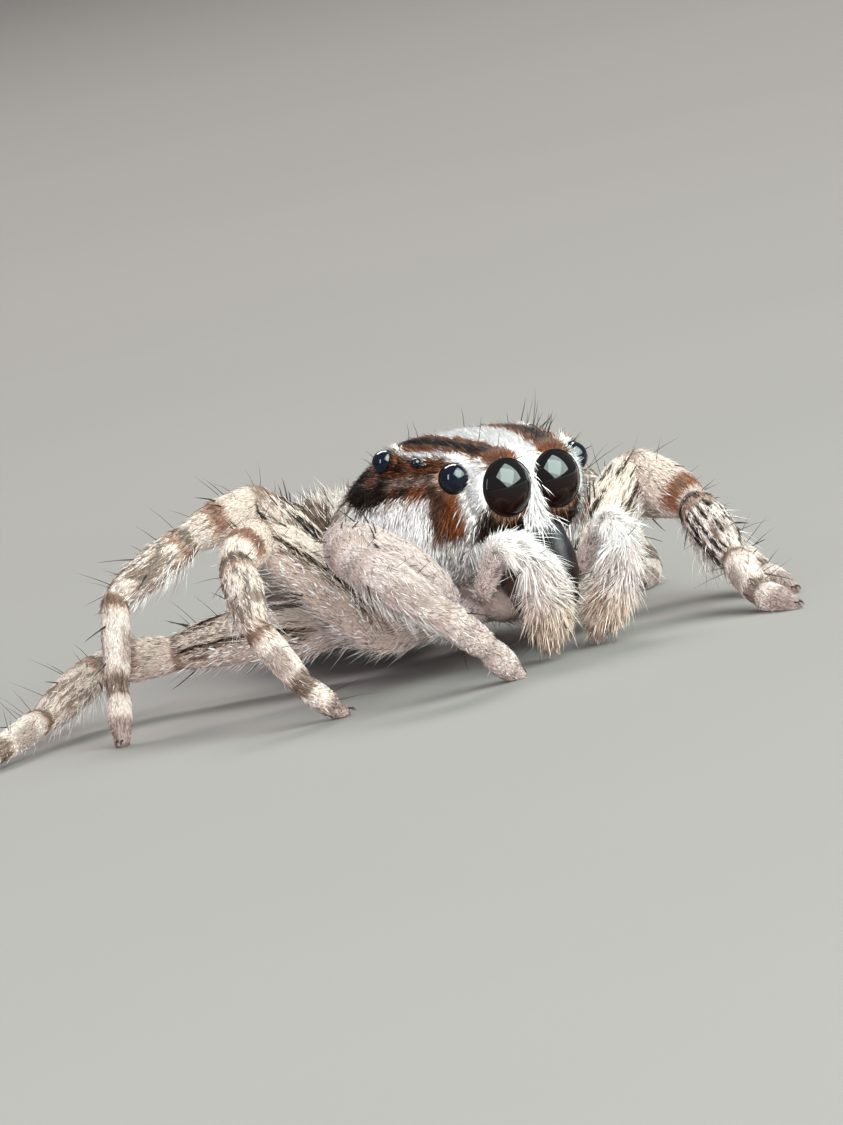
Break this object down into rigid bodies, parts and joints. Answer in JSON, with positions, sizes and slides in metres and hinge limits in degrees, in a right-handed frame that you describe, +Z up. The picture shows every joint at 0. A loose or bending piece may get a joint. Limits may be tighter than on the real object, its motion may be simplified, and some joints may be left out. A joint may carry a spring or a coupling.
{
  "type": "jumping spider",
  "caption": "Life-size still jumping spider standing on its legs, head raised, front legs folded, with large forward eyes and bushy palps.",
  "frame": {"origin": "on the floor under the middle of the bounding box", "axes": "+Z up from the floor the feet stand on; +X to the spider's left and -Y the way its head faces"},
  "size_m": [0.0108, 0.01, 0.0031],
  "materials": {
    "head": "dark brown cuticle under rust, black and white flat hair",
    "abdomen": "soft grey-buff skin under short hair",
    "leg": "cream to grey-pink cuticle with brown rings, short scale hair and dark spines",
    "palp": "pale cuticle under long cream and white hair",
    "jaw": "glossy blue-black to brown cuticle",
    "eye": "glossy black lens"
  },
  "bodies": {
    "root": {"abdomen": "abdomen", "cephalothorax": "head", "eye_front_middle_left": "eye", "eye_front_middle_right": "eye", "eye_front_side_left": "eye", "eye_front_side_right": "eye", "eye_rear_left": "eye", "eye_rear_right": "eye", "eye_small_left": "eye", "eye_small_right": "eye", "jaw_left": "jaw", "jaw_right": "jaw", "leg_left_1_femur": "leg", "leg_left_1_foot": "leg", "leg_left_1_tibia": "leg", "leg_left_2_femur": "leg", "leg_left_2_foot": "leg", "leg_left_2_tibia": "leg", "leg_left_3_femur": "leg", "leg_left_3_foot": "leg", "leg_left_3_tibia": "leg", "leg_left_4_femur": "leg", "leg_left_4_foot": "leg", "leg_left_4_tibia": "leg", "leg_right_1_femur": "leg", "leg_right_1_foot": "leg", "leg_right_1_tibia": "leg", "leg_right_2_femur": "leg", "leg_right_2_foot": "leg", "leg_right_2_tibia": "leg", "leg_right_3_femur": "leg", "leg_right_3_foot": "leg", "leg_right_3_tibia": "leg", "leg_right_4_femur": "leg", "leg_right_4_foot": "leg", "leg_right_4_tibia": "leg", "palp_left": "palp", "palp_right": "palp", "spinnerets": "abdomen"}
  },
  "joints": []
}
